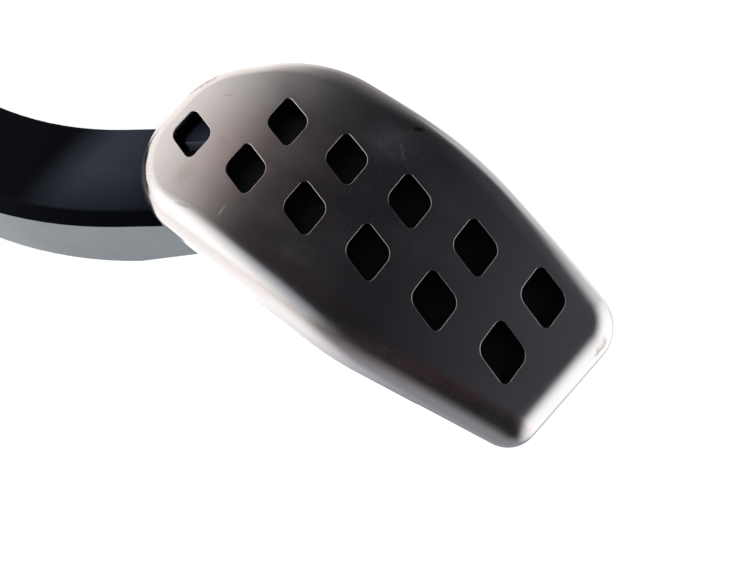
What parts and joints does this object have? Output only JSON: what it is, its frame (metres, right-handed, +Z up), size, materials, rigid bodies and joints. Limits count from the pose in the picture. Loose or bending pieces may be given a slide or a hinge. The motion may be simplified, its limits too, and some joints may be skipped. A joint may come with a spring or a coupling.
{
  "type": "accelerator pedal",
  "caption": "Hanging drive-by-wire accelerator pedal: perforated stainless pad on a curved black arm, hinged in a bulkhead bracket with return springs and position sensor.",
  "frame": {"origin": "centre of the three bulkhead bolts, on the bracket's mounting face", "axes": "+Y forward into the bulkhead, +X to the driver's right, +Z up"},
  "size_m": [0.1239, 0.1782, 0.2173],
  "materials": {
    "bracket_plastic": "fine-grained moulded black",
    "arm_plastic": "satin moulded black",
    "carrier_plastic": "moulded black",
    "case_plastic": "moulded black",
    "bush_plastic": "natural bearing plastic",
    "pad_steel": "satin stainless pressing",
    "zinc_steel": "zinc plated",
    "shaft_steel": "ground",
    "spring_steel": "drawn and oiled",
    "stop_rubber": "moulded",
    "seal_rubber": "moulded",
    "board_laminate": "coated laminate",
    "chip_plastic": "moulded",
    "pin_metal": "tinned",
    "magnet_ferrite": "sintered"
  },
  "bodies": {
    "bracket": {"housing": "bracket_plastic", "mounting_sleeves": "zinc_steel", "bush_right": "bush_plastic", "bush_left": "bush_plastic", "friction_shoe": "bush_plastic", "idle_bumper": "stop_rubber", "full_stop_bumper": "stop_rubber", "sensor_cover": "case_plastic", "cover_seal": "seal_rubber", "cover_screws": "zinc_steel", "sensor_board": "board_laminate", "hall_sensor": "chip_plastic", "connector_pins": "pin_metal"},
    "pedal": {"pedal_arm": "arm_plastic", "pivot_shaft": "shaft_steel", "shaft_clip": "spring_steel", "return_spring_right": "spring_steel", "return_spring_left": "spring_steel", "magnet_holder": "bush_plastic", "sensor_magnet": "magnet_ferrite", "pad_carrier": "carrier_plastic", "pad_cover": "pad_steel", "pad_screws": "zinc_steel"}
  },
  "joints": [
    {"name": "pedal_hinge", "type": "hinge", "parent": "bracket", "child": "pedal", "pos_m": [0, -0.034, 0.006], "axis": [1, 0, 0], "range_deg": [0, 16], "stiffness_Nm_per_rad": 9, "springref_deg": -16.04, "deforming": ["return_spring_right", "return_spring_left"]}
  ]
}
